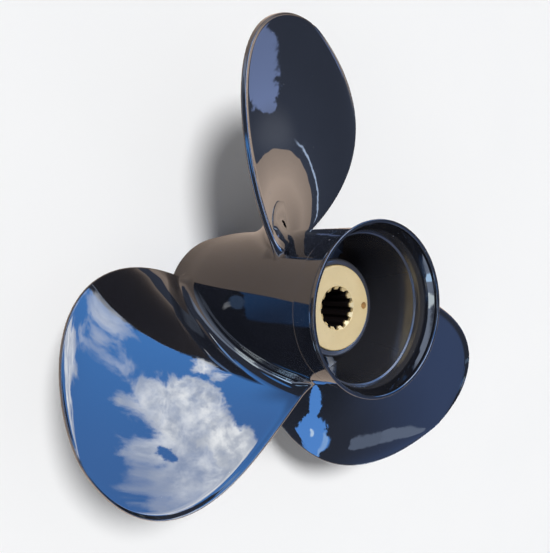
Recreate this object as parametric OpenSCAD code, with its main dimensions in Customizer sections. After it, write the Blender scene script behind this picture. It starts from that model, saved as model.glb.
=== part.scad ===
// Three-blade outboard propeller with a through-hub exhaust barrel,
// a splined brass sleeve and a rubber cushion between sleeve and hub.
// Millimetres. The shaft axis is +Z, aft end up. The origin is on the shaft
// axis at the barrel's forward face. Blade 1 points along +Y.

/* [Barrel] */
// Length of the casting from forward face to aft lip
barrel_length = 135.6; // [110:0.1:160]
// Outside diameter at the forward rim
barrel_front_d = 78; // [70:0.1:82]
// Largest outside diameter
barrel_waist_d = 82; // [76:0.1:90]
// Height of the largest diameter above the forward face
barrel_waist_z = 30; // [15:0.5:50]
// Outside diameter where the aft ring starts
barrel_aft_d = 79; // [74:0.1:82]
// Corner radius of the forward rim
barrel_front_round = 1.2; // [0.5:0.1:1.8]
// Diameter of the exhaust bore
bore_d = 72.6; // [68:0.1:74]
// Diameter of the recess that takes the gearcase collar
collar_d = 73.4; // [70:0.1:75]
// Depth of the collar recess
collar_depth = 5; // [3:0.1:8]

/* [Aft ring] */
// Length of the aft ring
ring_length = 18; // [12:0.1:25]
// Outside diameter at the flared lip
lip_d = 85.2; // [80:0.1:92]
// Length over which the outside flares
flare_length = 6; // [3:0.1:10]
// Depth of the inside step below the lip
step_depth = 11.9; // [6:0.1:15]
// Diameter of the flare where it meets the inside step
step_d = 74.2; // [72:0.1:78]
// Thickness of the rounded lip
lip_thickness = 1.8; // [1:0.1:3]

/* [Inner hub] */
// Outside diameter of the inner hub at its aft end
hub_aft_d = 50; // [44:0.1:56]
// Outside diameter of the inner hub at its forward end
hub_front_d = 53; // [46:0.1:58]
// Bore of the inner hub
hub_bore_d = 44; // [38:0.05:48]
// Forward end of the inner hub above the forward face
hub_front_z = 6; // [5.5:0.1:12]
// Depth of the inner hub's aft end below the lip
hub_aft_depth = 31.4; // [25:0.1:40]
// Rounding of the inner hub's aft end
hub_aft_round = 1.8; // [0.5:0.1:2.5]

/* [Ribs] */
// Number of ribs between inner hub and barrel
rib_count = 3; // [3:1:3]
// Thickness of a rib
rib_thickness = 6; // [3:0.1:10]
// Forward end of the ribs above the forward face
rib_front_z = 10; // [6:0.5:30]
// Length of the ribs
rib_length = 74; // [40:0.5:90]
// Direction of the first rib, seen from aft, from +X
rib_angle = 60; // [0:1:119]
// Depth that rib ends sink into the walls they join
rib_sink = 0.8; // [0.3:0.1:1.5]

/* [Blades] */
// Number of blades
blade_count = 3; // [3:1:3]
// Radius of the blade tips, half the propeller diameter
tip_radius = 144.4; // [120:0.1:160]
// Sideways place of the tip point from the blade's reference line
tip_offset = -3.4; // [-20:0.1:20]
// Tilt of the outline at the tip, positive drops the leading side
tip_tilt = 3.6; // [-20:0.1:20]
// Fullness of the tip on the leading side
tip_lead_reach = 19.5; // [5:0.1:60]
// Fullness of the tip on the trailing side
tip_trail_reach = 27.4; // [5:0.1:60]
// Sideways reach of the leading edge's shoulder
lead_reach = 104.1; // [60:0.1:130]
// Height of the leading edge's shoulder above the shaft axis
lead_height = 106.7; // [60:0.1:140]
// Sideways reach of the trailing edge's shoulder
trail_reach = 81; // [50:0.1:120]
// Height of the trailing edge's shoulder above the shaft axis
trail_height = 131.2; // [80:0.1:150]
// Angle of the leading edge's root from the reference line
root_lead_angle = 48.6; // [30:0.1:60]
// Angle of the trailing edge's root from the reference line
root_trail_angle = 50.3; // [30:0.1:60]
// Height of the reference line's root above the forward face
blade_z = 55.2; // [40:0.1:80]
// Pitch at the root, axial travel in one full turn
root_pitch = 290; // [200:1:400]
// Loss of pitch for each 100 mm of radius
pitch_loss = 71; // [0:1:120]
// Rake at the root, rise for each millimetre of radius
root_rake = 0.289; // [0:0.001:0.6]
// Loss of rake for each 100 mm of radius
rake_loss = 0.086; // [0:0.001:0.3]
// Height of the cup along the trailing edge
trail_cup = 2.3; // [0:0.1:5]
// Droop along the leading edge
lead_droop = 2.1; // [0:0.1:5]
// Greatest thickness at the root
root_thickness = 9; // [5:0.1:14]
// Greatest thickness near the tip
tip_thickness = 3.6; // [2:0.1:6]
// Thickness of the leading edge
lead_edge = 1.8; // [0.8:0.1:3]
// Thickness of the trailing edge
trail_edge = 2.6; // [1:0.1:4]
// Radius of the fillet between blade and barrel
root_fillet = 7; // [2:0.1:9]
// Depth that a blade's root sinks into the barrel wall
root_sink = 1.6; // [1:0.1:2.5]

/* [Drive] */
// Number of spline teeth
spline_teeth = 13; // [10:1:17]
// Major diameter of the spline
spline_major_d = 22.1; // [18:0.1:26]
// Minor diameter of the spline
spline_minor_d = 18.8; // [15:0.1:22]
// Direction of one tooth space, seen from aft, from +X
spline_angle = -3; // [-14:0.5:14]
// Forward end of the sleeve above the forward face
sleeve_front_z = 10; // [7:0.1:20]
// Outside diameter of the sleeve's tube
sleeve_d = 28; // [25:0.1:32]
// Diameter of the sleeve's aft flange
flange_d = 43.5; // [36:0.1:43.8]
// Thickness of the aft flange
flange_thickness = 5; // [3:0.1:8]
// Height of the flange face above the inner hub's aft end
flange_proud = 0.7; // [0:0.1:2]
// Diameter of the drill point in the flange face
dimple_d = 3; // [2:0.1:4]
// Depth of the drill point
dimple_depth = 1.8; // [0.5:0.1:3]
// Distance of the drill point from the shaft axis
dimple_radius = 18.6; // [14:0.1:20]
// Direction of the drill point, seen from aft, from +X
dimple_angle = 6; // [0:1:359]
// Slip clearance between cushion and hub bore, on the radius
cushion_clearance = 0.05; // [0.01:0.01:0.1]
// Gap between the cushion's ends and the sleeve's ends
cushion_inset = 4; // [0:0.5:10]

/* [Hidden] */
ring_z = barrel_length - ring_length;
hub_aft_z = barrel_length - hub_aft_depth;
flange_z = hub_aft_z + flange_proud;
waist_r = barrel_waist_d / 2;
// Sections of a blade from its root to its tip
blade_rows = [0, 0.004, 0.009, 0.016, 0.03, 0.06, 0.1, 0.15, 0.2, 0.26, 0.32,
              0.38, 0.45, 0.52, 0.59, 0.66, 0.73, 0.8, 0.86, 0.91, 0.95, 0.98];
// Steps across a blade from leading to trailing edge
blade_steps = 12;
blade_loop = 2 * (blade_steps + 1);

paint = [0.03, 0.035, 0.05];
brass = [0.80, 0.69, 0.44];
rubber = [0.06, 0.06, 0.06];

// Casting: the barrel with its exhaust bore and collar recess
module outer_barrel() {
    color(paint) rotate_extrude($fn = 96) polygon(concat(
        [[collar_d / 2, 0]],
        [for (a = [0:15:90])
            [barrel_front_d / 2 + barrel_front_round * (sin(a) - 1),
             barrel_front_round * (1 - cos(a))]],
        [for (i = [1:6])
            [rise(barrel_front_d / 2, waist_r, i / 6),
             barrel_front_round
                 + (barrel_waist_z - barrel_front_round) * i / 6]],
        [[barrel_aft_d / 2, ring_z],
         [bore_d / 2, ring_z],
         [bore_d / 2, collar_depth],
         [collar_d / 2, collar_depth]]));
}

// Eased step from one radius to another
function rise(a, b, t) = a + (b - a) * sin(90 * t);

// Outside radius of the barrel at height z
function barrel_r(z) =
    let (front = barrel_front_round)
    z < barrel_waist_z
        ? rise(barrel_front_d / 2, waist_r,
               max(0, z - front) / (barrel_waist_z - front))
        : waist_r + (barrel_aft_d / 2 - waist_r)
              * min(1, (z - barrel_waist_z) / (ring_z - barrel_waist_z));

// Casting: the flared ring at the aft end of the barrel
module aft_ring() {
    flare_z = barrel_length - flare_length;
    step_z = barrel_length - step_depth;
    lip_r = lip_d / 2 - lip_thickness / 2;
    top_z = barrel_length - lip_thickness / 2;
    color(paint) rotate_extrude($fn = 96) polygon(concat(
        [[bore_d / 2, ring_z],
         [barrel_aft_d / 2, ring_z],
         [barrel_aft_d / 2, flare_z]],
        [for (i = [1:5])
            [barrel_aft_d / 2
                 + (lip_d - barrel_aft_d) / 2 * pow(i / 5, 2),
             flare_z + (top_z - flare_z) * i / 5]],
        [for (a = [20:20:180])
            [lip_r + lip_thickness / 2 * cos(a),
             top_z + lip_thickness / 2 * sin(a)]],
        [for (i = [1:5])
            [lip_r - lip_thickness / 2
                 + (step_d / 2 - lip_r + lip_thickness / 2)
                     * sin(90 * i / 5),
             top_z + (step_z - top_z) * i / 5]],
        [[bore_d / 2, step_z]]));
}

// Casting: the tube inside the barrel that holds the cushion
module inner_hub() {
    color(paint) rotate_extrude($fn = 96) polygon(concat(
        [[hub_bore_d / 2, hub_front_z],
         [hub_front_d / 2 - 1, hub_front_z],
         [hub_front_d / 2, hub_front_z + 1]],
        [for (a = [0:15:90])
            [hub_aft_d / 2 + hub_aft_round * (cos(a) - 1),
             hub_aft_z + hub_aft_round * (sin(a) - 1)]],
        [[hub_bore_d / 2, hub_aft_z]]));
}

// Casting: one rib between inner hub and barrel
module rib(i) {
    inner_r = hub_aft_d / 2 - rib_sink;
    outer_r = bore_d / 2 + rib_sink;
    color(paint)
        rotate([0, 0, rib_angle + 360 / rib_count * i])
            translate([inner_r, -rib_thickness / 2, rib_front_z])
                cube([outer_r - inner_r, rib_thickness, rib_length]);
}
module rib_1() { rib(0); }
module rib_2() { rib(1); }
module rib_3() { rib(2); }

// Point of a cubic curve through four control points
function curve(p, t) =
    pow(1 - t, 3) * p[0] + 3 * pow(1 - t, 2) * t * p[1]
    + 3 * (1 - t) * t * t * p[2] + pow(t, 3) * p[3];

// Outline of a blade seen along the shaft, from root to tip
tip = [tip_offset, sqrt(pow(tip_radius, 2) - pow(tip_offset, 2))];
tip_run = [cos(tip_tilt), -sin(tip_tilt)];
lead_curve = [
    waist_r * [sin(root_lead_angle), cos(root_lead_angle)],
    [lead_reach, lead_height],
    tip + tip_lead_reach * tip_run,
    tip];
trail_curve = [
    waist_r * [-sin(root_trail_angle), cos(root_trail_angle)],
    [-trail_reach, trail_height],
    tip - tip_trail_reach * tip_run,
    tip];
// Angle from the reference line, towards the trailing edge, and radius
function polar(p) = [atan2(-p[0], p[1]), norm(p)];
function across(s, c) =
    polar(curve(lead_curve, s)) * (1 - c) + polar(curve(trail_curve, s)) * c;

// Height of the pressure face at section s, fraction c and polar point q
function face_z(s, c, q) =
    blade_z
    + (root_pitch - pitch_loss * (q[1] - waist_r) / 100) * q[0] / 360
    + root_rake * (q[1] - waist_r)
    - rake_loss * pow(q[1] - waist_r, 2) / 100
    + trail_cup * sin(180 * s) * pow(max(0, (c - 0.6) / 0.4), 2)
    - lead_droop * sin(180 * s) * pow(max(0, (0.4 - c) / 0.4), 2);

// Thickness of a blade at section s and fraction c
function thickness(s, c) =
    lead_edge * (1 - c) + trail_edge * c
    + (tip_thickness + (root_thickness - tip_thickness) * pow(1 - s, 1.5)
       - (lead_edge + trail_edge) / 2) * pow(sin(180 * c), 0.8)
       * min(1, (1.02 - s) * 6);

// Spread of the root fillet at radius r
function fillet(r) =
    let (u = min(1, max(0, 1 - (r - waist_r) / root_fillet)))
    root_fillet * (1 - sqrt(1 - u * u)) * 0.8;

// Point of a blade: side 0 is the aft pressure face, side 1 the forward face
function blade_point(s, c, side, sink) =
    let (q = across(s, c) - [0, sink],
         slope = root_pitch / (2 * PI * q[1]),
         n = [0, -slope, 1] / norm([0, -slope, 1]),
         f = fillet(q[1]) * sin(180 * min(1, max(0, 0.12 + c * 0.76))),
         t = side == 0 ? f : -thickness(s, c) - f,
         a = q[0] + t * n[1] / q[1] * 180 / PI,
         z = face_z(s, c, q) + t * n[2],
         r = q[1] - (waist_r - barrel_r(z))
                 * pow(max(0, 1 - (q[1] - waist_r) / 25), 2))
    [-r * sin(a), r * cos(a), z];

function blade_section(s, sink) = concat(
    [for (k = [0:blade_steps]) blade_point(s, k / blade_steps, 0, sink)],
    [for (k = [blade_steps:-1:0]) blade_point(s, k / blade_steps, 1, sink)]);

// Casting: one blade, with its root sunk into the barrel wall
module blade(i) {
    rows = concat([blade_section(0, root_sink)],
                  [for (s = blade_rows) blade_section(s, 0)]);
    last = len(rows) - 1;
    points = [for (row = rows) for (p = row) p];
    sides = [for (j = [0:last - 1]) for (k = [0:blade_loop - 1])
        let (a = j * blade_loop + k,
             b = j * blade_loop + (k + 1) % blade_loop)
        each [[a, a + blade_loop, b], [b, a + blade_loop, b + blade_loop]]];
    caps = [for (k = [0:blade_steps - 1])
        let (a = k, b = blade_loop - 1 - k, m = last * blade_loop)
        each [[a, a + 1, b], [a + 1, b - 1, b],
              [m + a, m + b, m + a + 1], [m + a + 1, m + b, m + b - 1]]];
    color(paint) rotate([0, 0, 360 / blade_count * i])
        polyhedron(points = points, faces = concat(sides, caps));
}
module blade_1() { blade(0); }
module blade_2() { blade(1); }
module blade_3() { blade(2); }

// Outline of the spline bore
function spline_points() = [
    for (i = [0:spline_teeth - 1])
        let (a = 360 / spline_teeth, m = spline_angle + i * a)
        each [for (p = [[-0.34, 0], [-0.16, 1], [0.16, 1], [0.34, 0]])
            let (r = (spline_minor_d
                      + (spline_major_d - spline_minor_d) * p[1]) / 2)
            r * [cos(m + a * p[0]), sin(m + a * p[0])]]];

// Brass sleeve with internal spline and wide aft flange
module splined_sleeve() {
    color(brass) difference() {
        union() {
            translate([0, 0, sleeve_front_z])
                cylinder(d = sleeve_d, h = flange_z - sleeve_front_z,
                         $fn = 96);
            translate([0, 0, flange_z - flange_thickness])
                cylinder(d = flange_d, h = flange_thickness - 0.6,
                         $fn = 96);
            translate([0, 0, flange_z - 0.6])
                cylinder(d1 = flange_d, d2 = flange_d - 1.2, h = 0.6,
                         $fn = 96);
        }
        translate([0, 0, sleeve_front_z - 1])
            linear_extrude(flange_z - sleeve_front_z + 2)
                polygon(spline_points());
        rotate([0, 0, dimple_angle])
            translate([dimple_radius, 0, flange_z - dimple_depth])
                cylinder(d1 = 0.6, d2 = dimple_d, h = dimple_depth + 0.01,
                         $fn = 32);
    }
}

// Rubber cushion bonded to the sleeve, gripping the inner hub's bore
module rubber_cushion() {
    z = sleeve_front_z + cushion_inset;
    h = flange_z - flange_thickness - z;
    color(rubber) translate([0, 0, z]) difference() {
        cylinder(d = hub_bore_d - 2 * cushion_clearance, h = h, $fn = 96);
        translate([0, 0, -1])
            cylinder(d = sleeve_d, h = h + 2, $fn = 96);
    }
}

outer_barrel();
aft_ring();
inner_hub();
rib_1();
rib_2();
rib_3();
blade_1();
blade_2();
blade_3();
splined_sleeve();
rubber_cushion();
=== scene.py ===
"""Three-blade outboard propeller, standing on its forward face with the aft
end up. Every piece is built here at high resolution in the CAD's frame. The
functions that shape a piece work in millimetres."""
import math

import bpy
import numpy as np
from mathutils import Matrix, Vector


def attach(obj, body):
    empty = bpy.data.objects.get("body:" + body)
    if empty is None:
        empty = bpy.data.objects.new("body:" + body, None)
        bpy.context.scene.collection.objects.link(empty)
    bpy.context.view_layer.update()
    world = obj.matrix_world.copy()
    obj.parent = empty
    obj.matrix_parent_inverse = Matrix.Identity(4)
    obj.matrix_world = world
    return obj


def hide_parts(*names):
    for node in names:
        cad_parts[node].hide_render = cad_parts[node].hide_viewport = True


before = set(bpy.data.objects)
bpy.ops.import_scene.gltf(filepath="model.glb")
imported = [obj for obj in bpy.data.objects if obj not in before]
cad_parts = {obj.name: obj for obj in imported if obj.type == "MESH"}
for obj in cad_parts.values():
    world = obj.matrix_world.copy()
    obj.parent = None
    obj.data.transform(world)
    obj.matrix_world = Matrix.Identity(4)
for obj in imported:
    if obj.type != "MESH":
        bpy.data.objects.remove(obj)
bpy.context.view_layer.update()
bpy.context.scene.view_settings.view_transform = "Standard"
MM = 0.001

# ---------------------------------------------------------------- dimensions
# Millimetres and degrees, as in the CAD.
LENGTH = 135.6
# barrel: outside radii, height of the waist, and where the ring starts
FRONT_R, WAIST_R, AFT_R = 39.0, 41.0, 39.5
WAIST_Z, FRONT_ROUND = 30.0, 1.2
RING_Z = LENGTH - 18.0
BORE_R, COLLAR_R, COLLAR_DEPTH = 36.3, 36.7, 5.0
# flared ring: rolled lip, start of the flare, step down to the bore
LIP_R, LIP_T = 42.6, 1.8
FLARE_Z, STEP_Z, STEP_R = LENGTH - 6.0, LENGTH - 11.9, 37.1
JOIN_GROOVE, FLARE_GROOVE = 0.07, 0.22
# inner hub, the rubber cushion in it, and the ribs round it
HUB_Z0, HUB_Z1 = 6.0, LENGTH - 31.4
HUB_FRONT_R, HUB_AFT_R, HUB_BORE_R = 26.5, 25.0, 22.0
CUSHION_Z0, CUSHION_GAP = 14.0, 0.05
RIB_Z0, RIB_Z1, RIB_HALF, RIB_FILLET, RIB_ROUND = 10.0, 84.0, 3.0, 2.4, 1.2
RIB_SUNK, RIB_TURN = 0.6, 60.0
# brass sleeve: flange, splines and the drill point in the flange
FACE_Z = HUB_Z1 + 0.7
SLEEVE_Z0, SLEEVE_R, FLANGE_R, FLANGE_T = 10.0, 14.0, 21.75, 5.0
FLANGE_ROUND, FACE_INNER_R = 0.7, 13.0
SPLINE_TEETH, SPLINE_MAJOR, SPLINE_MINOR, SPLINE_TURN = 13, 11.05, 9.4, -3.0
SPLINE_LAND, SPLINE_FLANK = 0.15, 0.19
MOUTH_WIDER, MOUTH_SLOPE = 0.25, 1.6
DRILL_AT_R, DRILL_TURN = 18.6, 6.0
DRILL_R, DRILL_END_R, DRILL_T = 1.9, 0.4, 2.2

# -------------------------------------------------------------- mesh density
LATHE_STEPS, CORNER_STEPS = 256, 7
TOOTH_STEPS = 28
NO_ROUND = 0.01


def add_mesh(name, verts, faces, normals=None):
    """A smooth mesh object from points in millimetres."""
    mesh = bpy.data.meshes.new(name)
    mesh.from_pydata((np.asarray(verts, float) * MM).tolist(), [], faces)
    mesh.update()
    mesh.polygons.foreach_set("use_smooth", [True] * len(mesh.polygons))
    if normals is not None:
        mesh.normals_split_custom_set_from_vertices(
            np.asarray(normals, float).tolist())
    obj = bpy.data.objects.new(name, mesh)
    bpy.context.scene.collection.objects.link(obj)
    return obj


def sharpen(obj, degrees):
    """Keep the edges sharp where two faces turn by more than this."""
    obj.data.set_sharp_from_angle(angle=math.radians(degrees))


def smooth_step(x):
    x = np.clip(x, 0, 1)
    return x * x * (3 - 2 * x)


def fade(x, start, end):
    """0 at the start, 1 at the end, and smooth between them."""
    return smooth_step((x - start) / (end - start))


def turned(x, y, angle):
    """x and y after a turn about the shaft axis."""
    c, s = math.cos(angle), math.sin(angle)
    return c * x - s * y, s * x + c * y


# ------------------------------------------------------------- turned pieces
def rounded(path):
    """Closed path of (r, z, corner radius) as points and outward normals.
    Every straight run keeps its own normal up to where an arc starts."""
    pts, nrm = [], []
    n = len(path)
    for i in range(n):
        p0, p1, p2 = (np.array(path[(i + k) % n][:2], float)
                      for k in (-1, 0, 1))
        a, b = p0 - p1, p2 - p1
        la, lb = np.linalg.norm(a), np.linalg.norm(b)
        a, b = a / la, b / lb
        n0 = np.array([-a[1], a[0]])        # normal of the run that ends here
        n1 = np.array([b[1], -b[0]])        # normal of the run that starts
        turn = math.acos(max(-1, min(1, float(n0 @ n1))))
        if turn < 0.02:
            pts.append(p1)
            m = n0 + n1
            nrm.append(m / np.linalg.norm(m))
            continue
        cut = min(path[i][2] * math.tan(turn / 2), la * 0.49, lb * 0.49)
        rad = cut / math.tan(turn / 2)
        side = 1 if a[1] * b[0] - a[0] * b[1] > 0 else -1
        centre = p1 + a * cut - n0 * rad * side
        for k in range(CORNER_STEPS + 1):
            t = k / CORNER_STEPS
            m = (math.sin((1 - t) * turn) * n0
                 + math.sin(t * turn) * n1) / math.sin(turn)
            pts.append(centre + m * rad * side)
            nrm.append(m)
    return np.array(pts), np.array(nrm)


def lathe(name, path):
    """Turned piece: path runs counterclockwise in (r, z), so that its outward
    normal is on the right of the way it runs."""
    flat = rounded(path)
    n, seg = len(flat[0]), LATHE_STEPS
    ang = np.arange(seg) * 2 * math.pi / seg
    points, normals = (
        np.stack([np.outer(np.cos(ang), rz[:, 0]),
                  np.outer(np.sin(ang), rz[:, 0]),
                  np.broadcast_to(rz[:, 1], (seg, n))], -1).reshape(-1, 3)
        for rz in flat)
    faces = [(i * n + j, ((i + 1) % seg) * n + j,
              ((i + 1) % seg) * n + (j + 1) % n, i * n + (j + 1) % n)
             for i in range(seg) for j in range(n)]
    return add_mesh(name, points, faces, normals)


def barrel_r(z):
    """Outside radius of the barrel at height z."""
    z = np.asarray(z, float)
    t = np.clip((z - FRONT_ROUND) / (WAIST_Z - FRONT_ROUND), 0, 1)
    front = FRONT_R + (WAIST_R - FRONT_R) * np.sin(np.pi / 2 * t)
    k = np.clip((z - WAIST_Z) / (RING_Z - WAIST_Z), 0, 1)
    return np.where(z < WAIST_Z, front, WAIST_R + (AFT_R - WAIST_R) * k)


def make_barrel():
    path = [(COLLAR_R, 0, 0.4), (FRONT_R, 0, FRONT_ROUND)]
    path += [(float(barrel_r(z)), float(z), NO_ROUND)
             for z in np.linspace(3, RING_Z - 0.6, 30)]
    path += [(AFT_R, RING_Z - 0.2, 0.1), (AFT_R - JOIN_GROOVE, RING_Z, 0.05),
             (BORE_R, RING_Z, NO_ROUND), (BORE_R, COLLAR_DEPTH, 0.3),
             (COLLAR_R, COLLAR_DEPTH, 0.2)]
    return lathe("barrel_shell", path)


def make_ring():
    """Flared ring: a fine groove where it starts and another where the flare
    starts, a rolled lip, a swept mouth and a step down to the bore."""
    top, inner = LENGTH - LIP_T / 2, LIP_R - LIP_T
    path = [(BORE_R, RING_Z, NO_ROUND), (AFT_R - JOIN_GROOVE, RING_Z, 0.05),
            (AFT_R, RING_Z + 0.2, 0.1), (AFT_R, FLARE_Z - 0.55, 0.15),
            (AFT_R - FLARE_GROOVE, FLARE_Z - 0.3, 0.15),
            (AFT_R + 0.02, FLARE_Z, 0.2)]
    path += [(AFT_R + (LIP_R - AFT_R) * t ** 2.0,
              FLARE_Z + (top - FLARE_Z) * t, 0.6)
             for t in np.arange(1, 9) / 9]
    path += [(LIP_R, top + 0.15, 0.5), (LIP_R - 0.1, LENGTH, LIP_T * 0.45),
             (inner + 0.1, LENGTH, LIP_T * 0.45)]
    path += [(inner + (STEP_R + 0.35 - inner) * math.sin(math.pi / 2 * t),
              top + (STEP_Z - top) * t, 0.9)
             for t in np.arange(1, 12) / 12]
    path += [(STEP_R + 0.3, STEP_Z, 0.55), (BORE_R, STEP_Z - 0.15, 0.5)]
    return lathe("flared_ring", path)


def make_hub():
    return lathe("hub_tube", [
        (HUB_BORE_R, HUB_Z0, 0.5), (HUB_FRONT_R, HUB_Z0, 1.2),
        (HUB_AFT_R + 0.05, HUB_Z1 - 4, NO_ROUND), (HUB_AFT_R, HUB_Z1, 2.0),
        (HUB_BORE_R, HUB_Z1, 0.4)])


def make_cushion():
    outer, top = HUB_BORE_R - CUSHION_GAP, FACE_Z - FLANGE_T
    return lathe("cushion", [
        (SLEEVE_R, CUSHION_Z0, 0.1), (outer, CUSHION_Z0, 1.5),
        (outer, top, 0.2), (SLEEVE_R, top, 0.1)])


# -------------------------------------------------------------------- blades
# Seen along the shaft, each half of the outline is a curve from the barrel to
# the tip with two handles between them. The tip's handles lie on one line.
TIP_X, TIP_R, TIP_TURN = -3.4, 144.4, math.radians(3.6)
TIP_LEAD, TIP_TRAIL = 19.5, 27.4
TIP = np.array([TIP_X, math.sqrt(TIP_R ** 2 - TIP_X ** 2)])
TIP_RUN = np.array([math.cos(TIP_TURN), -math.sin(TIP_TURN)])
ROOT_LEAD, ROOT_TRAIL = math.radians(48.6), math.radians(50.3)
LEAD = [WAIST_R * np.array([math.sin(ROOT_LEAD), math.cos(ROOT_LEAD)]),
        np.array([104.1, 106.7]), TIP + TIP_LEAD * TIP_RUN, TIP]
TRAIL = [WAIST_R * np.array([-math.sin(ROOT_TRAIL), math.cos(ROOT_TRAIL)]),
         np.array([-81.0, 131.2]), TIP - TIP_TRAIL * TIP_RUN, TIP]
# pressure face: height at the root, pitch, and how pitch and rake fall off
BLADE_Z, ROOT_PITCH, PITCH_LOSS = 55.2, 290.0, 0.71
RAKE, RAKE_LOSS = 0.289, 0.00086
CUP, CUP_BAND = 1.5, 6.0
DROOP, DROOP_SHARE = 2.1, 0.4
TWIST = 0.01
DISH, DISH_RISE, DISH_FALL, DISH_EDGE = 0.085, (6, 20), (78, 28), 8.0
# thickness at the root and the tip, and of the two edges
ROOT_T, TIP_T, THIN_R, EDGE_LEAD, EDGE_TRAIL = 9.0, 3.6, 144.9, 2.0, 2.6
CORNER, EDGE_LEAN = 0.85, 0.36
# raised rim along the edges
RIM_LEAD, RIM_TRAIL, RIM_ON_BACK = 0.28, 0.50, 0.55
RIM_FLAT, RIM_SLOPE, RIM_SLOPE_TRAIL = 1.2, 1.9, 3.0
FILLET, FILLET_AT_ENDS, FILLET_FULL, SUNK = 7.5, 0.45, 9.0, 1.2
# distances from the barrel over which the blade takes its own shape
TILT_REACH, PUSH_REACH, BARREL_REACH = 30, 10, 25
# columns of a section: distances from the edge, then shares of the rest
NEAR = (0.0, 0.25, 0.6, 1.1, 1.7, 2.4, 3.1, 3.8, 4.6, 5.5, 6.6, 8.0, 9.8, 12.0)
FAR = np.linspace(0, 1, 26)[1:] ** 1.15
# rows along the edge, and about how long one half's edge is
FILLET_ROWS, EDGE_ROWS, EDGE_LENGTH = 15, 118, 320.0
# where on the two curves the spine ends, and from where it evens them out
SPINE_END, SPINE_EVEN = 0.84, 0.8


def bezier(p, t):
    t = np.asarray(t)[..., None]
    return ((1 - t) ** 3 * p[0] + 3 * (1 - t) ** 2 * t * p[1]
            + 3 * (1 - t) * t * t * p[2] + t ** 3 * p[3])


def polar(p):
    return np.stack([np.arctan2(-p[..., 0], p[..., 1]),
                     np.hypot(p[..., 0], p[..., 1])], -1)


def blade_rows():
    """Places along the outline, closest together in the root fillet."""
    turn = np.linspace(0, np.pi / 2, FILLET_ROWS)
    near = FILLET * (1 - np.cos(turn)) / EDGE_LENGTH
    return np.concatenate([near, np.linspace(near[-1], 1, EDGE_ROWS)[1:]])


def blade_columns():
    """Columns of one half section, from the spine on the pressure face round
    the edge to the spine on the forward face. Each is (kind, distance or
    share, angle of turn round the edge's corner, depth through the edge from
    0 on the pressure face to 1 on the forward face)."""
    face = [("near", d) for d in NEAR] + [("far", v) for v in FAR]
    corner = np.linspace(0, np.pi / 2, 6)[1:]
    return ([(kind, x, 0.0, 0.0) for kind, x in face[::-1]]
            + [("edge", 0.0, a, 0.0) for a in corner]
            + [("edge", 0.0, np.pi / 2, depth) for depth in (0.33, 0.66)]
            + [("edge", 0.0, a, 1.0) for a in corner[::-1]]
            + [(kind, x, 0.0, 1.0) for kind, x in face])


def spine_line(rows):
    """Middle of the blade for each place along its outline. It runs straight
    at the tip."""
    lead = SPINE_END * np.sin(np.pi / 2 * rows)
    trail = 1 - (1 - lead) * (1 - (1 - TIP_LEAD / TIP_TRAIL)
                              * smooth_step(lead / SPINE_EVEN))
    return 0.5 * (polar(bezier(LEAD, lead)) + polar(bezier(TRAIL, trail)))


def section_axes(theta, over, r, pitch):
    """Unit vectors of a section: along it as (turning, up), and out of its
    pressure face as (turning, up, outward)."""
    slope = pitch / (2 * np.pi * r)
    rake = RAKE - 2 * RAKE_LOSS * over - PITCH_LOSS * theta / (2 * np.pi)
    tilt = -rake * np.clip(over / TILT_REACH, 0, 1)
    k, kn = np.sqrt(1 + slope ** 2), np.sqrt(1 + slope ** 2 + tilt ** 2)
    return (1 / k, slope / k), (-slope / kn, 1 / kn, tilt / kn)


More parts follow.
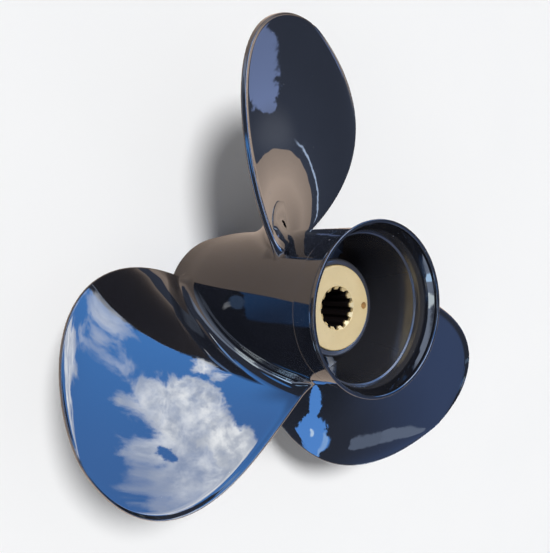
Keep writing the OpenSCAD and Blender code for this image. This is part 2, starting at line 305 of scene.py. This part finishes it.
def half_blade(rows, lead):
    """One half of the blade round its leading or trailing edge. Returns its
    points, one row for each place along the edge, and how strongly the
    pressure face is dished at each point."""
    sign = -1.0 if lead else 1.0
    # what only the trailing edge has fades out where the edges meet
    own = 0.0 if lead else fade(rows, 1, 0.75)
    edge_t = EDGE_LEAD + (EDGE_TRAIL - EDGE_LEAD) * own
    out, spine = polar(bezier(LEAD if lead else TRAIL, rows)), spine_line(rows)
    mid_r = 0.5 * (out[:, 1] + spine[:, 1])
    helix = np.sqrt(1 + (ROOT_PITCH / (2 * np.pi * mid_r)) ** 2)
    width = np.hypot((out[:, 0] - spine[:, 0]) * mid_r * helix,
                     out[:, 1] - spine[:, 1])
    # columns near the edge draw together where the blade is narrow
    squeeze = np.minimum(1.0, 0.6 * width / (CORNER + NEAR[-1]))
    # how much of the cup or droop, the twist and the rim each row has
    bent = np.sin(np.pi * rows) * fade(rows, 1, 0.78)
    twisted = fade(rows, 0, 0.15) * fade(rows, 1, 0.6)
    rim_row = ((RIM_LEAD + (RIM_TRAIL - RIM_LEAD) * own)
               * (fade(rows, 0.3, 0.55) if lead else fade(rows, 0.02, 0.27)))
    slope = RIM_SLOPE + (RIM_SLOPE_TRAIL - RIM_SLOPE) * own
    points, dish = [], []
    for kind, x, angle, depth in blade_columns():
        if kind == "near":
            d = CORNER + x * squeeze
        elif kind == "far":
            start = CORNER + NEAR[-1] * squeeze
            d = start + (width - start) * x
        else:
            d = np.full_like(width, CORNER * (1 - math.sin(angle)))
        v = d / width
        theta, r = (out * (1 - v)[:, None] + spine * v[:, None]).T
        over = r - WAIST_R
        pitch = ROOT_PITCH - PITCH_LOSS * over
        z = (BLADE_Z + pitch * theta / (2 * np.pi) + RAKE * over
             - RAKE_LOSS * over ** 2)
        # the leading side droops gently, the trailing edge is cupped
        if lead:
            near = np.clip(1 - 0.5 * v / DROOP_SHARE, 0, 1)
            z = z - DROOP * bent * near ** 2
        else:
            z = z + CUP * bent * fade(d, CUP_BAND, 0)
        z = z - sign * TWIST * twisted * (width - d)
        # thickness under this point
        grow = np.clip((THIN_R - r) / (THIN_R - WAIST_R), 0, 1) ** 1.4
        thick = TIP_T + (ROOT_T - TIP_T) * grow
        full = np.clip(1 - (1 - np.clip(v, 0, 1)) ** 2, 0, 1) ** 0.9
        thick = edge_t + (thick - edge_t) * full
        if kind == "edge":
            thick = edge_t
        # out of the face: the rounded corners of the edge, and the rim
        rim = rim_row * (1 - smooth_step((d - RIM_FLAT) / slope))
        skin = CORNER * (1 - math.cos(angle))
        off = (depth * (skin - thick) - (1 - depth) * skin
               + rim * (1 - (1 - RIM_ON_BACK) * depth))
        # the root fillet is smaller round the two edges, and the blunt
        # trailing edge leans a little towards the pressure face
        u = np.clip(1 - over / FILLET, 0, 1.0)
        fillet = FILLET * (1 - np.sqrt(1 - u * u))
        ends = FILLET_AT_ENDS + (1 - FILLET_AT_ENDS) * fade(d, 0, FILLET_FULL)
        lean = EDGE_LEAN * own * (depth - 0.5) if kind == "edge" else 0.0
        along = sign * math.sin(angle) * fillet * ends + lean
        off = off + (1 - 2 * depth) * math.cos(angle) * fillet * ends
        (e_t, e_z), (n_t, n_z, n_r) = section_axes(theta, over, r, pitch)
        zz = z + along * e_z + off * n_z
        # the root follows the barrel's shape
        held = np.clip(1 - over / BARREL_REACH, 0, 1) ** 2
        rr = (r + off * n_r * np.clip(over / PUSH_REACH, 0, 1)
              - (WAIST_R - barrel_r(zz)) * held)
        ang = theta + (along * e_t + off * n_t) / r
        points.append(np.stack([-rr * np.sin(ang), rr * np.cos(ang), zz], -1))
        dish.append(np.zeros_like(over) if kind == "edge" or depth else
                    fade(over, *DISH_RISE) * fade(over, *DISH_FALL)
                    * fade(d, 0, DISH_EDGE))
    return np.stack(points, 1), np.stack(dish, 1)


def unit(v):
    return v / (np.linalg.norm(v, axis=-1, keepdims=True) + 1e-12)


def outward(verts, faces, nrm):
    """Faces and normals turned to the outside of a closed mesh."""
    volume, face_n = 0.0, np.zeros_like(verts)
    for f in faces:
        p = verts[list(f)]
        m = np.zeros(3)
        for n in range(1, len(f) - 1):
            m = m + np.cross(p[n] - p[0], p[n + 1] - p[0])
        volume += float(p[0] @ m)
        face_n[list(f)] += m
    if volume < 0:
        faces, face_n = [f[::-1] for f in faces], -face_n
    flip = np.sign((nrm * face_n).sum(-1))
    flip[flip == 0] = 1
    return faces, nrm * flip[:, None]


def make_blade(index):
    rows = blade_rows()
    lead, trail = half_blade(rows, True), half_blade(rows, False)
    # closed loop: spine, leading edge, spine, trailing edge
    grid, dish = (np.concatenate([a, b[:, -2:0:-1]], 1)
                  for a, b in zip(lead, trail))
    # one row below the barrel's surface
    low = grid[0].copy()
    flat = np.hypot(low[:, 0], low[:, 1])
    low[:, :2] *= ((flat - SUNK) / flat)[:, None]
    grid = np.concatenate([low[None], grid], 0)
    dish = np.concatenate([dish[:1], dish], 0)
    grid[..., 0], grid[..., 1] = turned(grid[..., 0].copy(),
                                        grid[..., 1].copy(),
                                        2 * math.pi / 3 * index)
    nr, nc = grid.shape[:2]
    nrm = np.cross(np.gradient(grid, axis=0),
                   (np.roll(grid, -1, 1) - np.roll(grid, 1, 1)) / 2)
    # the last row's points on the two halves are the same ones
    half, last = lead[0].shape[1], nr - 1
    partner = {j: 2 * half - 2 - j for j in range(half, nc)}
    for j, k in partner.items():
        nrm[last, j] = nrm[last, k] = unit(nrm[last, j]) + unit(nrm[last, k])
        grid[last, j] = grid[last, k]
    for j, beside in ((0, 1), (half - 1, half - 2)):
        nrm[last, j] = nrm[last, beside]
    nrm = unit(nrm)
    # the shading normals dish the pressure face towards the root
    away = grid * [1.0, 1.0, 0.0]
    away /= np.linalg.norm(away, axis=-1, keepdims=True)
    nrm = nrm + DISH * dish[..., None] * np.sign(nrm[..., 2:]) * away
    # the fillet runs out smoothly onto the barrel
    nrm[:2] = np.sign((nrm[4] * away[4]).sum(-1).mean()) * away[:2]
    nrm = unit(nrm)
    same = np.arange(nr * nc)
    for j, k in partner.items():
        same[last * nc + j] = last * nc + k
    faces = []
    for i in range(nr - 1):
        for j in range(nc):
            a, b = i * nc + j, i * nc + (j + 1) % nc
            f = [same[a], same[b], same[b + nc], same[a + nc]]
            f = [int(q) for n, q in enumerate(f) if q != f[n - 1]]
            if len(set(f)) > 2:
                faces.append(tuple(f))
    faces.append(tuple(range(nc))[::-1])
    # drop the points that no face uses
    used = sorted({q for f in faces for q in f})
    new = {q: n for n, q in enumerate(used)}
    faces = [tuple(new[q] for q in f) for f in faces]
    verts = grid.reshape(-1, 3)[used]
    faces, nrm = outward(verts, faces, nrm.reshape(-1, 3)[used])
    return add_mesh("propeller_blade_%d" % (index + 1), verts, faces, nrm)


# ---------------------------------------------------------------------- ribs
def make_rib(index):
    """Flat rib with fillets into the inner hub and the barrel."""
    x0, x1 = HUB_AFT_R - RIB_SUNK, BORE_R + RIB_SUNK
    quarter = np.linspace(0, math.pi / 2, 8)
    side = [(x0 + RIB_FILLET * (1 - math.cos(a)) + RIB_SUNK,
             RIB_HALF + RIB_FILLET * (1 - math.sin(a))) for a in quarter]
    side += [(x1 - RIB_FILLET * (1 - math.sin(a)) - RIB_SUNK,
              RIB_HALF + RIB_FILLET * (1 - math.cos(a))) for a in quarter]
    side = [(x0, side[0][1])] + side + [(x1, side[-1][1])]
    loop = side + [(x, -y) for x, y in side[::-1]]
    # levels from the forward end to the aft one, with rounded ends
    levels = [(RIB_Z0 + RIB_ROUND * (1 - math.sin(a)),
               RIB_ROUND * (1 - math.cos(a)))
              for a in np.linspace(0, math.pi / 2, 6)][::-1]
    levels += [(RIB_Z1 - (z - RIB_Z0), inset) for z, inset in levels[::-1]]
    angle = math.radians(RIB_TURN + 120 * index)
    verts, faces, n = [], [], len(loop)
    for z, inset in levels:
        for x, y in loop:
            thin = math.copysign(max(0.0, abs(y) - inset), y)
            verts.append((*turned(x, thin, angle), z))
    for i in range(len(levels) - 1):
        for j in range(n):
            a, b = i * n + j, i * n + (j + 1) % n
            faces.append((a, a + n, b + n, b))
    faces.append(tuple(range(n)))
    faces.append(tuple(range((len(levels) - 1) * n, len(levels) * n))[::-1])
    obj = add_mesh("hub_rib_%d" % (index + 1), verts, faces)
    sharpen(obj, 40)
    return obj


# -------------------------------------------------------------------- sleeve
def spline_radius(angle):
    """Radius of the spline's wall, with flanks and small corner radii."""
    pitch = 2 * math.pi / SPLINE_TEETH
    t = ((angle - math.radians(SPLINE_TURN)) / pitch + 0.5) % 1.0 - 0.5
    k = smooth_step((np.abs(t) - SPLINE_LAND) / SPLINE_FLANK)
    return SPLINE_MAJOR + (SPLINE_MINOR - SPLINE_MAJOR) * k


def drill(obj):
    """Drill point in the flange face."""
    a = math.radians(DRILL_TURN)
    bpy.ops.mesh.primitive_cone_add(
        vertices=48, radius1=DRILL_END_R * MM, radius2=DRILL_R * MM,
        depth=DRILL_T * MM,
        location=(DRILL_AT_R * MM * math.cos(a), DRILL_AT_R * MM * math.sin(a),
                  (FACE_Z - 1.0) * MM))
    cutter = bpy.context.object
    mod = obj.modifiers.new("drill", "BOOLEAN")
    mod.operation, mod.object, mod.solver = "DIFFERENCE", cutter, "EXACT"
    bpy.context.view_layer.update()
    done = bpy.data.meshes.new_from_object(
        obj.evaluated_get(bpy.context.evaluated_depsgraph_get()))
    obj.modifiers.clear()
    obj.data = done
    bpy.data.objects.remove(cutter)
    done.polygons.foreach_set("use_smooth", [True] * len(done.polygons))


def make_sleeve():
    seg = SPLINE_TEETH * TOOTH_STEPS
    ang = np.arange(seg) * 2 * math.pi / seg
    wall = spline_radius(ang)
    under = FACE_Z - FLANGE_T
    outer = [(SLEEVE_R - 0.8, SLEEVE_Z0), (SLEEVE_R - 0.2, SLEEVE_Z0 + 0.2),
             (SLEEVE_R, SLEEVE_Z0 + 0.8), (SLEEVE_R, under - 0.6),
             (SLEEVE_R + 0.6, under), (FLANGE_R - 0.4, under),
             (FLANGE_R, under + 0.4), (FLANGE_R, FACE_Z - 0.75)]
    outer += [(FLANGE_R - FLANGE_ROUND * (1 - math.cos(a)),
               FACE_Z - FLANGE_ROUND * (1 - math.sin(a)))
              for a in np.linspace(0, math.pi / 2, 7)[1:]]
    outer += [(r, FACE_Z)
              for r in np.linspace(FLANGE_R - 1.2, FACE_INNER_R, 8)]
    # mouth of the spline: a small chamfer, then the teeth
    inner = [(np.maximum(wall, SPLINE_MAJOR + MOUTH_WIDER
                         - depth * MOUTH_SLOPE), FACE_Z - depth)
             for depth in (0.0, 0.12, 0.35, 0.7, 1.1, 2.0, 6.0, 20.0, 50.0,
                           80.0)]
    rings = outer + inner + [(wall, SLEEVE_Z0)]
    grid = np.stack([np.stack([r * np.cos(ang), r * np.sin(ang),
                               np.full(seg, z)], -1) for r, z in rings], 0)
    nr = len(rings)
    faces = [(i * seg + j, i * seg + (j + 1) % seg,
              ((i + 1) % nr) * seg + (j + 1) % seg, ((i + 1) % nr) * seg + j)
             for i in range(nr) for j in range(seg)]
    obj = add_mesh("brass_sleeve", grid.reshape(-1, 3), faces)
    drill(obj)
    sharpen(obj, 28)
    return obj


# ----------------------------------------------------------------- materials
class Nodes:
    """Small helper to wire a material or world."""

    def __init__(self, tree):
        self.t = tree
        self.t.nodes.clear()

    def add(self, kind, values=(), **props):
        n = self.t.nodes.new(kind)
        for k, v in props.items():
            setattr(n, k, v)
        for k, v in dict(values).items():
            self.put(n, k, v)
        return n

    def put(self, node, key, value):
        if isinstance(value, bpy.types.NodeSocket):
            self.t.links.new(value, node.inputs[key])
        else:
            node.inputs[key].default_value = value

    def math(self, op, a, b=None, clamp=False):
        n = self.add("ShaderNodeMath", {0: a}, operation=op, use_clamp=clamp)
        if b is not None:
            self.put(n, 1, b)
        return n.outputs[0]

    def times(self, *factors):
        """Product of two or more values."""
        product = factors[0]
        for factor in factors[1:]:
            product = self.math("MULTIPLY", product, factor)
        return product

    def ramp(self, value, lo, hi, a=0.0, b=1.0):
        """Smooth step from a to b as value goes from lo to hi."""
        return self.add("ShaderNodeMapRange", {
            "Value": value, "From Min": lo, "From Max": hi,
            "To Min": a, "To Max": b},
            interpolation_type="SMOOTHSTEP").outputs[0]

    def mix(self, fac, a, b):
        return self.add("ShaderNodeMix", {0: fac, 6: a, 7: b},
                        data_type="RGBA").outputs[2]

    def noise(self, vec, scale, detail=3.0, rough=0.5, distort=0.0):
        return self.add("ShaderNodeTexNoise", {
            "Vector": vec, "Scale": scale, "Detail": detail,
            "Roughness": rough, "Distortion": distort}).outputs["Fac"]

    def from_axis(self, x, y):
        """Distance from the shaft axis."""
        return self.math("SQRT", self.math("ADD", self.times(x, x),
                                           self.times(y, y)))

    def bump(self, height, strength=1.0, distance=MM):
        return self.add("ShaderNodeBump", {
            "Height": height, "Strength": strength,
            "Distance": distance}).outputs[0]

    def object_mm(self):
        """Object coordinates in millimetres, and their three parts."""
        tc = self.add("ShaderNodeTexCoord")
        vec = self.add("ShaderNodeMapping", {
            "Vector": tc.outputs["Object"],
            "Scale": (1 / MM, 1 / MM, 1 / MM)}).outputs[0]
        return vec, self.add("ShaderNodeSeparateXYZ", {0: vec}).outputs

    def specks(self, vec, cell, size, keep):
        """Scattered round specks: one candidate in each cell, few kept."""
        v = self.add("ShaderNodeTexVoronoi", {"Vector": vec,
                                              "Scale": 1.0 / cell})
        pick = self.add("ShaderNodeSeparateColor", {0: v.outputs["Color"]})
        inside = self.math("LESS_THAN", v.outputs["Distance"],
                           self.times(pick.outputs[1], size / cell))
        return self.times(inside,
                          self.math("LESS_THAN", pick.outputs[0], keep))

    def finish(self, shader, kind="ShaderNodeOutputMaterial"):
        self.put(self.add(kind), "Surface", shader.outputs[0])


def material(name):
    m = bpy.data.materials.new(name)
    m.use_nodes = True
    return m, Nodes(m.node_tree)


def col(r, g, b):
    return (r, g, b, 1.0)


# radii and heights between which the bore's duller paint and its painted light
# begin
BORE_PAINT_R, BORE_PAINT_Z = (38.6, 38.2), (3.0, 6.0)
# brass: radii of the darker rim and of the drill point's ring, depths of
# the drill point's painted shade and of the painted shade down in the splines
RIM_DARK_R, DRILLED_R, DRILLED_END = (20.9, 21.8), (15.5, 16.2), (20.6, 20.9)
DRILLED_DEPTH = (0.03, 0.15)
SPLINE_SHADE_DEPTH, SPLINE_SHADE_END = (1.0, 2.4), (11.6, 12.2)


def paint(name, dust=0.03, dust_size=0.15, gloss=0.018, smear=0.05):
    """Mirror-gloss black paint on cast metal: deep lacquer, faint wave in the
    reflections, wipe marks, and specks of dust."""
    m, n = material(name)
    vec, (x, y, z) = n.object_mm()
    base = n.mix(n.noise(vec, 0.03, 2.0), col(0.00675, 0.0075, 0.010875),
                 col(0.0117, 0.013, 0.01885))
    # inside the bore the paint is duller, and lighter in colour: painted light
    # where little light reaches
    inside = n.times(n.ramp(n.from_axis(x, y), *BORE_PAINT_R),
                     n.ramp(z, *BORE_PAINT_Z))
    base = n.mix(inside, base, col(0.044, 0.045, 0.054))
    dirt = n.math("MAXIMUM", n.specks(vec, 4.0, dust_size * 2.2, dust),
                  n.specks(vec, 1.7, dust_size, dust * 1.3))
    base = n.mix(n.times(dirt, 0.5), base, col(0.34, 0.33, 0.31))
    wipe = n.ramp(n.noise(vec, 0.055, 4.0, 0.6, 0.6), 0.52, 0.78, 0.0, smear)
    rough = n.math("ADD", n.math("ADD", gloss, wipe), n.times(dirt, 0.5),
                   clamp=True)
    rough = n.math("ADD", rough, n.times(inside, 0.14))
    wave, peel = n.noise(vec, 0.045, 1.0), n.noise(vec, 0.9, 2.0)
    height = n.math("ADD", n.times(wave, 0.10), n.times(peel, 0.0009))
    bump = n.bump(n.math("ADD", height, n.times(dirt, 0.03)))
    n.finish(n.add("ShaderNodeBsdfPrincipled", {
        "Base Color": base, "Roughness": rough, "IOR": 1.5,
        "Coat Weight": 1.0, "Coat IOR": 1.6, "Coat Roughness": rough,
        "Normal": bump, "Coat Normal": bump}))
    return m


def turned_brass(name):
    """Satin turned brass: fine rings from the tool, darker towards the rim,
    dull film in places, painted shade in the drill point and near-black
    painted shade down in the splines."""
    m, n = material(name)
    vec, (x, y, z) = n.object_mm()
    r = n.from_axis(x, y)
    depth = n.math("SUBTRACT", FACE_Z, z)
    cloud = n.noise(vec, 0.12, 4.0, 0.55)
    base = n.mix(cloud, col(0.92, 0.72, 0.38), col(0.80, 0.60, 0.29))
    stain = n.ramp(n.noise(vec, 0.5, 5.0, 0.65), 0.60, 0.80, 0.0, 0.35)
    base = n.mix(stain, base, col(0.50, 0.36, 0.18))
    # darker towards the rim of the flange
    rim = n.ramp(r, *RIM_DARK_R, 0.0, 0.3)
    base = n.mix(rim, base, col(0.50, 0.38, 0.20))
    # painted shade: the drill point's wall is darker brown
    drill_shade = n.times(n.ramp(depth, *DRILLED_DEPTH), n.ramp(r, *DRILLED_R),
                      n.ramp(r, *DRILLED_END, 1.0, 0.0))
    base = n.mix(drill_shade, base, col(0.46, 0.27, 0.10))
    # painted shade: near black and less metallic down in the splines
    spline_shade = n.times(n.ramp(depth, *SPLINE_SHADE_DEPTH),
                     n.ramp(r, *SPLINE_SHADE_END, 1.0, 0.0))
    base = n.mix(spline_shade, base, col(0.012, 0.009, 0.009))
    metal = n.times(n.math("SUBTRACT", 1.0, spline_shade), 0.22)
    rings = n.add("ShaderNodeTexNoise", {"Scale": 6.0, "Detail": 4.0},
                  noise_dimensions="1D")
    n.put(rings, "W", r)
    n.finish(n.add("ShaderNodeBsdfPrincipled", {
        "Base Color": base, "Metallic": metal,
        "Roughness": n.math("ADD", n.times(cloud, 0.14), 0.30),
        "Normal": n.bump(n.times(rings.outputs["Fac"], 0.012), 0.7),
        "Anisotropic": 0.3}))
    return m


def rubber(name):
    m, n = material(name)
    vec, _ = n.object_mm()
    grain = n.noise(vec, 1.4, 5.0, 0.7)
    n.finish(n.add("ShaderNodeBsdfPrincipled", {
        "Base Color": n.mix(grain, col(0.012, 0.012, 0.012),
                            col(0.035, 0.034, 0.033)),
        "Roughness": n.math("ADD", grain, 0.25),
        "Normal": n.bump(grain, 0.35, 0.4 * MM)}))
    return m


def floor_paint(name):
    """Pale studio floor. For glossy rays it glows a warm paper tone instead, a
    painted reflection, with painted shadow darker near the object, where its
    shadow lies."""
    m, n = material(name)
    vec, (x, y, _) = n.object_mm()
    soft = n.noise(vec, 0.01, 2.0)
    pale = n.add("ShaderNodeBsdfPrincipled", {
        "Base Color": n.mix(soft, col(0.90, 0.905, 0.91),
                            col(0.93, 0.93, 0.93)),
        "Roughness": 0.85, "Specular IOR Level": 0.1})
    far = n.from_axis(x, y)
    # painted shadow: the glow that gloss sees is darker near the object
    shade = n.times(n.ramp(far, 36, 58, 0.45, 1.0),
                    n.ramp(far, 70, 300, 0.46, 1.0))
    # painted reflection: the floor glows this warm tone for glossy rays only
    warm = n.mix(soft, col(1.02, 0.80, 0.66), col(0.88, 0.71, 0.60))
    painted_reflection_glow = n.add("ShaderNodeEmission", {"Color": warm, "Strength": shade})
    path = n.add("ShaderNodeLightPath")
    n.finish(n.add("ShaderNodeMixShader", {
        0: path.outputs["Is Glossy Ray"], 1: pale.outputs[0],
        2: painted_reflection_glow.outputs[0]}))
    return m


# --------------------------------------------------------------------- world
def direction(azimuth, elevation):
    a, e = math.radians(azimuth), math.radians(elevation)
    return (math.cos(a) * math.cos(e), math.sin(a) * math.cos(e), math.sin(e))


# White clouds in front of the blue panel: azimuth, elevation, radius in
# degrees, and whiteness.
CLOUDS = (
    (76, 53, 13, 0.80), (94, 66, 8, 1.0), (102, 69, 6, 0.9),
    (57.5, 49, 6, 0.74), (57, 61, 5.5, 0.68), (67, 69, 8, 0.66),
    (53, 72, 4.5, 0.55), (78, 33, 5, 0.8), (88, 35, 4, 0.65),
    (42, 32, 2.6, 0.6), (40, 36, 2.2, 0.5), (45, 41, 2.4, 0.5))
# Smaller panels that the other blades and the mouth mirror: two directions
# as azimuth and elevation, half width, softness and raggedness in degrees,
# and colour.
SLATE, GLASS = (0.76, 1.02, 1.88), (0.75, 2.3, 6.0)
PANELS = (
    ((14, 9.0), (19.5, 23.0), 3.1, 0.5, 5.0, SLATE),
    ((104, 26), (118, 26), 3.4, 0.8, 3.0, (1.1, 2.0, 3.8)),
    ((-93, 70.9), (-66, 67.4), 0.55, 0.2, 0.9, (0.80, 1.02, 1.5)),
    ((-68, 67.7), (-43, 59.0), 0.55, 0.2, 0.9, (0.90, 1.15, 1.7)),
    ((-120, 49), (-130, 65), 2.7, 0.25, 4.0, GLASS),
    ((-137, 66), (-118, 71.5), 4.4, 0.4, 8.0, GLASS),
    ((-130, 68), (-127, 69.5), 0.45, 0.2, 1.2, (4.5, 6.0, 8.0)),
    ((-118, 69.5), (-114, 70.5), 0.7, 0.3, 4.0, (2.0, 3.6, 6.6)),
    ((-137, 2), (-135, 12), 5.0, 0.8, 3.0, (3.4, 5.0, 7.0)),
    ((-131, 26), (-127, 30), 4.0, 0.8, 3.0, (1.6, 2.6, 4.0)),
    ((-172, 4), (-158, 4), 7.0, 0.8, 4.0, (4.2, 4.8, 5.2)),
    ((0, 90), (60, 86), 6.0, 2.0, 4.0, (5.0, 5.8, 6.8)))


def make_world():
    """Soft even studio light, and for the gloss alone a large blue panel with
    soft white clouds on one side and a dark room elsewhere."""
    w = bpy.data.worlds.new("studio")
    bpy.context.scene.world = w
    w.use_nodes = True
    n = Nodes(w.node_tree)
    vec = n.add("ShaderNodeTexCoord").outputs["Generated"]
    rags = n.noise(vec, 8.0, 8.0, 0.62, 0.3)
    fine = n.noise(vec, 34.0, 5.0, 0.6)
    fluff = n.noise(vec, 9.0, 6.0, 0.6)
    up = n.add("ShaderNodeSeparateXYZ", {0: vec}).outputs[2]
    height = n.times(n.math("ARCSINE", up), 180 / math.pi)

    def away(az, el):
        """Angle in degrees from a direction."""
        d = n.add("ShaderNodeVectorMath", {0: vec, 1: direction(az, el)},
                  operation="DOT_PRODUCT").outputs["Value"]
        return n.times(n.math("ARCCOSINE", d), 180 / math.pi)

    def torn(angle, ragged, noise):
        if not ragged:
            return angle
        rip = n.math("SUBTRACT", noise, 0.5)
        return n.math("ADD", angle, n.times(rip, ragged))

    def spot(az, el, wide, soft, ragged=0.0):
        """Round patch with a soft, torn rim."""
        return n.ramp(torn(away(az, el), ragged, rags), wide + soft,
                      max(0.0, wide - soft))

    def oval(a, b, wide, soft, ragged):
        """Oval patch about two directions, with its half width."""
        apart = math.degrees(Vector(direction(*a)).angle(
            Vector(direction(*b))))
        both = n.times(n.math("ADD", away(*a), away(*b)), 0.5)
        short = n.math("SUBTRACT", n.times(both, both), apart * apart / 4)
        short = n.math("SQRT", n.math("MAXIMUM", short, 0.0))
        return n.ramp(torn(short, ragged, fine), wide + soft, wide - soft)

    # dark room, bluer towards one side, with a pale skirting behind
    room = n.mix(spot(-45, 48, 20, 18), col(0.125, 0.155, 0.235),
                 col(0.24, 0.40, 0.90))
    low = n.times(spot(-150, 0, 100, 12),
                  n.ramp(torn(height, 5.0, fine), 11.0, 8.0))
    seen = n.mix(low, room, col(1.25, 1.5, 2.0))
    # large blue panel, with its lower edge over the dark
    blue = n.mix(n.ramp(height, 30, 72), col(0.42, 1.55, 4.2),
                 col(0.38, 1.20, 3.3))
    dim = n.times(spot(158, 34, 30, 12), n.ramp(height, 52, 40), 0.62)
    blue = n.mix(dim, blue, col(0.16, 0.34, 0.9))
    wide = n.times(spot(82, 50, 42, 1.5),
                   n.ramp(torn(height, 3.0, fine), 29.0, 30.0))
    seen = n.mix(wide, seen, blue)
    seen = n.mix(spot(-168, 28, 7, 2, 5), seen, col(0.40, 1.4, 3.6))
    # clouds, with one gap in them and one small cloud apart
    cloud = 0.0
    for az, el, radius, much in CLOUDS:
        cloud = n.math("MAXIMUM", cloud,
                       n.times(spot(az, el, radius, 2.0, 18), much))
    gap = oval((54.5, 60.5), (56, 65), 1.2, 0.5, 4)
    cloud = n.times(cloud, n.ramp(fluff, 0.3, 0.7, 0.75, 1.2),
                    n.math("SUBTRACT", 1.0, gap))
    cloud = n.math("MAXIMUM", cloud, spot(113, 22, 2.4, 1.0, 4))
    white = n.mix(n.ramp(rags, 0.35, 0.65), col(4.2, 4.6, 5.4),
                  col(8.6, 8.8, 9.0))
    seen = n.mix(n.math("MINIMUM", cloud, 1.0), seen, white)
    for a, b, half, soft, ragged, tone in PANELS:
        seen = n.mix(oval(a, b, half, soft, ragged), seen, col(*tone))
    # thin bright line just over the floor's far edge, and haze by it
    off_line = n.math("ABSOLUTE", n.math(
        "SUBTRACT", torn(height, 1.6, fine), 3.4))
    line = n.times(spot(-9, 3, 14, 2), n.ramp(off_line, 0.6, 0.25))
    seen = n.mix(line, seen, col(1.5, 1.9, 2.6))
    seen = n.mix(n.times(spot(13, 4, 5, 4), 0.6), seen,
                 col(0.34, 0.38, 0.48))

    def background(colour, strength):
        return n.add("ShaderNodeBackground", {
            "Color": colour, "Strength": strength}).outputs[0]

    path = n.add("ShaderNodeLightPath").outputs
    light = n.add("ShaderNodeMixShader", {
        0: path["Is Glossy Ray"],
        1: background(col(0.96, 0.97, 1.0), 0.235),
        2: background(seen, 1.0)})
    n.finish(n.add("ShaderNodeMixShader", {
        0: path["Is Camera Ray"], 1: light.outputs[0],
        2: background(col(0.93, 0.935, 0.94), 1.0)}), "ShaderNodeOutputWorld")


def soft_light(name, kind, place, size, power):
    """Soft lamp aimed at the object, which the gloss doesn't mirror: a disk
    in metres, or a sun in degrees, which lights the whole floor evenly."""
    light = bpy.data.lights.new(name, kind)
    if kind == "SUN":
        light.angle = math.radians(size)
    else:
        light.shape, light.size = "DISK", size
    light.energy = power
    obj = bpy.data.objects.new(name, light)
    bpy.context.scene.collection.objects.link(obj)
    obj.location = Vector(place)
    aim = Vector((0, 0, 0.05)) - obj.location
    obj.rotation_mode = "QUATERNION"
    obj.rotation_quaternion = aim.to_track_quat("-Z", "Y")
    obj.visible_glossy = False


# --------------------------------------------------------------------- build
def wear(obj, mat):
    obj.data.materials.clear()
    obj.data.materials.append(mat)


def place(obj, body, slot, mat, node):
    wear(obj, mat)
    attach(obj, body)
    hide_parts(node)


shell_paint = paint("black_paint")
bore_paint = paint("black_paint_bore", dust=0.11, dust_size=0.19, gloss=0.03,
                   smear=0.12)
place(make_barrel(), "casting", "black_paint", shell_paint, "outer_barrel")
place(make_ring(), "casting", "black_paint", bore_paint, "aft_ring")
place(make_hub(), "casting", "black_paint", bore_paint, "inner_hub")
for i in range(3):
    place(make_rib(i), "casting", "black_paint", bore_paint,
          "rib_%d" % (i + 1))
    place(make_blade(i), "casting", "black_paint", shell_paint,
          "blade_%d" % (i + 1))
place(make_sleeve(), "drive_sleeve", "brass", turned_brass("brass"),
      "splined_sleeve")
place(make_cushion(), "drive_sleeve", "black_rubber", rubber("black_rubber"),
      "rubber_cushion")

# --------------------------------------------------------------------- stage
bpy.ops.mesh.primitive_plane_add(size=6.0, location=(0, 0, -0.2 * MM))
floor = bpy.context.object
floor.name = "studio_floor"
wear(floor, floor_paint("studio_floor"))

make_world()
soft_light("key", "SUN", (-1.10, 1.06, 3.10), 15.0, 2.62)
soft_light("fill", "AREA", (-1.8, -1.2, 1.6), 1.6, 6)

# -------------------------------------------------------------------- camera
camera = bpy.data.cameras.new("camera")
view = bpy.data.objects.new("camera", camera)
bpy.context.scene.collection.objects.link(view)
bpy.context.scene.camera = view
camera.sensor_fit = "HORIZONTAL"
camera.sensor_width = 36.0
camera.lens = 46.7
camera.shift_x, camera.shift_y = 0.0, 0.2
camera.clip_start, camera.clip_end = 0.01, 20.0
view.location = (-0.24839, 0.00397, 0.37396)
view.rotation_euler = [math.radians(a) for a in (-9.087, -37.662, 3.238)]
